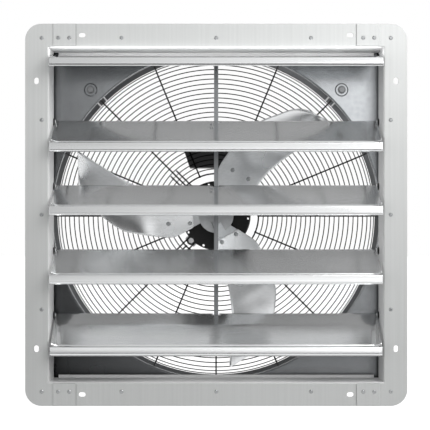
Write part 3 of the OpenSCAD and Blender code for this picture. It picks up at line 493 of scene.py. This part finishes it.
def dip(angle, length):
    return Vector((length * math.cos(math.radians(angle)), -length * math.sin(math.radians(angle))))


def louvre_rows():
    """The sheet's section, as the rows of the plate and those of the lip."""
    lip_end = Vector((PLATE, 0)) + dip(LIP_A, LIP_W)
    path = soft_path([(-BACK, 0), *GROOVE, (SLIT, 0), (PLATE, 0), tuple(lip_end),
                      tuple(lip_end + dip(HEM_A, HEM_W))], FOLD_R)
    behind, slit = Vector((-1, 0)), Vector((SLIT, 0))
    flat = [Vector((-BACK, 0)), behind] + densify([behind, Vector((GROOVE_START, 0))], ROW_STEP)[1:]
    plate = flat + [v for v in path if GROOVE_START < v.x < SLIT - 0.05] + [slit]
    return plate, [slit] + [v for v in path if v.x > SLIT + 0.05]


def louvre_mesh(i):
    plate, lip = louvre_rows()
    fold_a = math.atan2(WING, SLIT + BACK)  # the wing's fold runs aslant in plan
    reach = WING * math.cos(fold_a)
    inner = sorted(set([-1 + 2 * n / (COLUMNS - 1) for n in range(COLUMNS)] + [x / HALF for x in NOTCH]))
    notch = [inner.index(x / HALF) + WING_COLUMNS for x in NOTCH]
    wing = [n / WING_COLUMNS for n in range(1, WING_COLUMNS + 1)]
    phase = 1.7 * i

    def height(x, u):
        """Waves of the thin sheet, which die out at the lip, and the bow of the lowest one in the photo."""
        calm = max(0.0, 1 - (max(u, 0) / WAVE_END) ** 4)
        bow = BOW * max(0.0, min(u / BOW_AT, (SLIT - u) / (SLIT - BOW_AT))) if i == 4 else 0.0
        # Three waves, with their heights and with their lengths over 2 pi
        return bow + calm * (0.16 * math.sin(x / 47 + phase) * math.sin(u / 21 + phase)
                             + 0.12 * math.sin(x / 88 - 1.3 * phase)
                             + 0.05 * math.sin(x / 19 + u / 13 + 2 * phase))

    def wing_point(edge, t, u, v):
        """A point of the wing, which turns up softly from the fold."""
        d = t * (HALF - edge) * math.cos(fold_a)
        along, up = 0.0, 0.0
        for n in range(WING_STEPS):
            at = (n + 0.5) / WING_STEPS * d
            a = math.radians(WING_A) * min(1.0, at / (BEND * reach))
            along += d / WING_STEPS * math.cos(a)
            up += d / WING_STEPS * math.sin(a)
        return edge + along * math.cos(fold_a), u + along * math.sin(fold_a), v + up

    def row(u, v, winged):
        edge = HALF - WING * (u + BACK) / (SLIT + BACK) if winged else HALF - WING
        mids = [(t * edge, u, v + height(t * edge, u)) for t in inner]
        sides = [wing_point(edge, t, u, v) if winged else (edge + t * WING, u, v) for t in wing]
        return [(-x, along, up) for x, along, up in reversed(sides)] + mids + sides

    cols = len(inner) + 2 * len(wing)
    verts = [p for rows, winged in ((plate, True), (lip, False)) for v in rows for p in row(v.x, v.y, winged)]
    faces = grid_faces(len(plate), cols, 0, lambda r, k: r == 0 and notch[0] <= k < notch[1])
    faces += grid_faces(len(lip), cols, len(plate) * cols)
    c, s = math.cos(math.radians(SLOPES[i])), math.sin(math.radians(SLOPES[i]))
    return [(x, PIVOT_Y - u * c - v * s, PIVOT_Z[i] - u * s + v * c) for x, u, v in verts], faces


def lathe_x(profile, place, sides=32):
    """Turned form about an axis along X: profile is (x, radius)."""
    verts, faces = [], []
    for x, r in profile:
        for n in range(sides):
            a = 2 * math.pi * n / sides
            verts.append((place[0] + x, place[1] + r * math.cos(a), place[2] + r * math.sin(a)))
    for i in range(len(profile) - 1):
        for n in range(sides):
            a, b = i * sides + n, i * sides + (n + 1) % sides
            faces.append((a, b, b + sides, a + sides))
    faces.append(tuple(range(sides)))
    faces.append(tuple(range((len(profile) - 1) * sides, len(profile) * sides)))
    return verts, faces


for i in range(5):
    body = f"louvre_{i + 1}_body"
    verts, faces = louvre_mesh(i)
    piece(f"louvre_{i + 1}_sheet", verts, faces, body, "louvre_sheet", [f"louvre_{i + 1}"], smooth=60,
          thick=T_SHEET)
    verts, faces = [], []
    for side in (-1, 1):
        more, more_faces = lathe_x([(side * x, r) for x, r in STUB], (0, PIVOT_Y, PIVOT_Z[i]))
        faces += [tuple(v + len(verts) for v in f) for f in more_faces]
        verts += more
    piece(f"louvre_{i + 1}_stubs", verts, faces, body, "louvre_sheet", (), smooth=30)


# Blades: smooth cambered sheets with rounded tips

FAN_Y = 139
BLADE_T = 2.0
FIRST_ANGLE = 59  # degrees of blade 1 above X
# Distance from the fan axis against the offset of the leading and the trailing edge
LEAD = [(44, 24), (62, 34), (81, 43), (117, 43), (158, 38), (180, 34), (208, 18), (232, -1), (258, -24),
        (266, -37), (271, -56)]
TRAIL = [(44, -24), (62, -32), (81, -37), (117, -42), (150, -52), (179, -64), (221, -89), (250, -107),
         (266, -117), (271, -119)]
STATIONS = [44 + n * 3.5 for n in range(63)] + [264, 266.5, 268.6, 270, 271]  # closer together at the tip
STRIPS = 28  # across each station
FLAT_END, BLEND = 104, 66  # the root is flat up to here, and the camber grows over this length
ROOT_PITCH, TIP_PITCH, CAMBER = 28, 21, 9


def curve_at(table, s):
    """Smooth interpolation through an outline table, by cubic pieces."""
    xs = [p[0] for p in table]
    n = max(0, min(len(xs) - 2, sum(1 for x in xs if x <= s) - 1))
    (x0, y0), (x1, y1) = table[n], table[n + 1]
    slope = (y1 - y0) / (x1 - x0)
    before = (y0 - table[n - 1][1]) / (x0 - table[n - 1][0]) if n else slope
    after = (table[n + 2][1] - y1) / (table[n + 2][0] - x1) if n + 2 < len(xs) else slope
    m0, m1 = (slope + before) / 2, (slope + after) / 2
    h = x1 - x0
    t = (s - x0) / h
    return (y0 * (2 * t ** 3 - 3 * t ** 2 + 1) + m0 * h * (t ** 3 - 2 * t ** 2 + t)
            + y1 * (3 * t ** 2 - 2 * t ** 3) + m1 * h * (t ** 3 - t ** 2))


def blend(s):
    """0 along the flat root, then smoothly to 1."""
    t = min(1, max(0, (s - FLAT_END) / BLEND))
    return t * t * (3 - 2 * t)


def blade_mesh(angle):
    verts = []
    ca, sa = math.cos(math.radians(angle)), math.sin(math.radians(angle))
    for s in STATIONS:
        lead, trail = curve_at(LEAD, s), curve_at(TRAIL, s)
        mid = blend(s) * (lead + trail) / 2
        pitch = math.radians(ROOT_PITCH + (TIP_PITCH - ROOT_PITCH) * blend(s))
        for k in range(STRIPS + 1):
            w = trail + (lead - trail) * k / STRIPS
            q = 2 * (w - mid) / (lead - trail)
            y = FAN_Y + (w - mid) * math.tan(pitch) + blend(s) * CAMBER * (1 - q * q)
            verts.append((s * ca - w * sa, y, s * sa + w * ca))
    return verts, grid_faces(len(STATIONS), STRIPS + 1)


for i in range(3):
    verts, faces = blade_mesh(FIRST_ANGLE + 120 * i)
    piece(f"blade_{i + 1}_sheet", verts, faces, "rotor", "blade_alloy", [f"blade_{i + 1}"], smooth=60,
          thick=BLADE_T)


# Camera: straight in front, a little below the middle, and shifted to the photo's framing

cam_data = bpy.data.cameras.new("camera")
cam_data.sensor_width = 36
cam_data.lens = 128.3
cam_data.shift_y = 0.0345
cam = bpy.data.objects.new("camera", cam_data)
bpy.context.scene.collection.objects.link(cam)
cam.location = (-0.0022, -2.85, -0.028)
cam.rotation_euler = (math.radians(90), 0, 0)
bpy.context.scene.camera = cam


# Room: white to the camera, plain light on the part, and a studio of pale and grey bands in its
# reflections. Each list pairs a direction's Z or X, from -1 to 1, with a strength.

REAR_BY_HEIGHT = [(-1, 0.5), (0.0, 1.0), (0.35, 0.95), (0.62, 0.44), (0.8, 0.34), (1.0, 0.3)]
REAR_BY_SIDE = [(-1, 0.7), (-0.25, 0.8), (0.25, 1.25), (1, 1.3)]
FORE_BY_HEIGHT = [(-1, 0.4), (-0.3, 0.33), (-0.12, 0.5), (-0.03, 1.1), (0.08, 1.22), (0.16, 1.3),
                  (0.25, 0.95), (0.4, 0.75), (0.8, 0.85), (1.0, 0.75)]
FORE_BY_SIDE = [(-1, 0.85), (-0.5, 0.9), (-0.2, 0.45), (0.2, 1.6), (0.55, 0.9), (1, 0.85)]
PLAIN_BY_HEIGHT = [(-1, 0.1), (-0.45, 0.3), (-0.1, 1.1), (0.25, 1.1), (0.6, 0.3), (1, 0.2)]
PLAIN_BEHIND = 0.8  # the plain light from behind, against 1 from the front


def build_world():
    world = bpy.data.worlds.new("studio")
    bpy.context.scene.world = world
    t = Tree(world)
    x, y, z = t.axes(t.add("ShaderNodeTexCoord").outputs["Generated"])
    behind = t.calc("MULTIPLY_ADD", y, 2.0, 0.5, clamp=True)
    before = t.calc("SUBTRACT", 1.0, behind)
    rear = t.calc("MULTIPLY", t.curve(x, REAR_BY_SIDE), t.curve(z, REAR_BY_HEIGHT))
    fore = t.calc("MULTIPLY", t.curve(x, FORE_BY_SIDE), t.curve(z, FORE_BY_HEIGHT))
    gloss = t.calc("ADD", t.calc("MULTIPLY", behind, rear), t.calc("MULTIPLY", before, fore))
    share = t.calc("ADD", PLAIN_BEHIND, t.calc("MULTIPLY", before, 1 - PLAIN_BEHIND))
    plain = t.calc("MULTIPLY", t.curve(z, PLAIN_BY_HEIGHT), share)
    rays = t.add("ShaderNodeLightPath").outputs
    mirrored = t.calc("MULTIPLY", rays["Is Glossy Ray"], t.calc("SUBTRACT", gloss, plain))
    lit = t.calc("ADD", plain, mirrored)
    seen = t.calc("MAXIMUM", rays["Is Camera Ray"], rays["Is Transmission Ray"])
    back = t.add("ShaderNodeBackground")
    back.inputs["Color"].default_value = (1, 1, 1, 1)
    unseen = t.calc("MULTIPLY", lit, t.calc("SUBTRACT", 1.0, seen))
    t.link(t.calc("ADD", unseen, seen), back.inputs["Strength"])
    t.link(back.outputs[0], t.add("ShaderNodeOutputWorld").inputs["Surface"])


def area(name, place, target, size, power):
    data = bpy.data.lights.new(name, "AREA")
    data.shape = "RECTANGLE"
    data.size, data.size_y = size
    data.energy = power
    lamp = bpy.data.objects.new(name, data)
    lamp.location = place
    lamp.rotation_euler = (Vector(target) - Vector(place)).to_track_quat("-Z", "Y").to_euler()
    bpy.context.scene.collection.objects.link(lamp)


build_world()
area("key", place=(0.95, -1.05, 1.05), target=(0.1, 0, 0.1), size=(1.2, 1.2), power=18.5)
# A small white card above the top louvre, which throws light onto the top return
area("card", place=(0, -0.006, 0.3015), target=(0, 0.05, 0.3105), size=(0.61, 0.014), power=0.085)


def floor_material():
    """White to the camera, grey to the light, and see-through from below. It lights the part's underside from
    far in front and from behind, and the part's metal mirrors it as dark in front and white below and behind.
    All these places are given by their Y in metres."""
    m = Mat("floor")
    m.set(Roughness=0.8)
    m.color(m.range(m.noise(even(3)), 0, 1), (0.16, 0.16, 0.16), (0.18, 0.18, 0.18))
    rays = m.add("ShaderNodeLightPath").outputs
    y = m.axes(m.coord)["Y"]
    bounce = m.calc("ADD", m.range(y, 1.4, 0, start=-1.1, end=-0.5), m.range(y, 0, 1.1, start=0.2, end=0.6))
    glow = m.calc("ADD", rays["Is Camera Ray"], m.calc("MULTIPLY", bounce, rays["Is Diffuse Ray"]))
    both = m.add("ShaderNodeAddShader")
    m.link(m.bsdf.outputs[0], both.inputs[0])
    m.link(m.emission(glow), both.inputs[1])
    sheen = m.emission(m.range(y, 0.08, 1.05, start=-0.6, end=-0.2))
    top = m.either(rays["Is Glossy Ray"], both.outputs[0], sheen)
    clear = m.add("ShaderNodeBsdfTransparent").outputs[0]
    below = m.add("ShaderNodeNewGeometry").outputs["Backfacing"]
    m.link(m.either(below, top, clear), m.out.inputs["Surface"])
    return m.mat


low = cad_box[0][2] - 0.001
side, near, far = 12, -8, 16
mesh = bpy.data.meshes.new("floor")
corners = [(-side, near, low), (side, near, low), (side, far, low), (-side, far, low)]
mesh.from_pydata(corners, [], [(0, 1, 2, 3)])
floor = bpy.data.objects.new("floor", mesh)
floor.data.materials.append(floor_material())
bpy.context.scene.collection.objects.link(floor)

bpy.context.scene.view_settings.view_transform = "Standard"
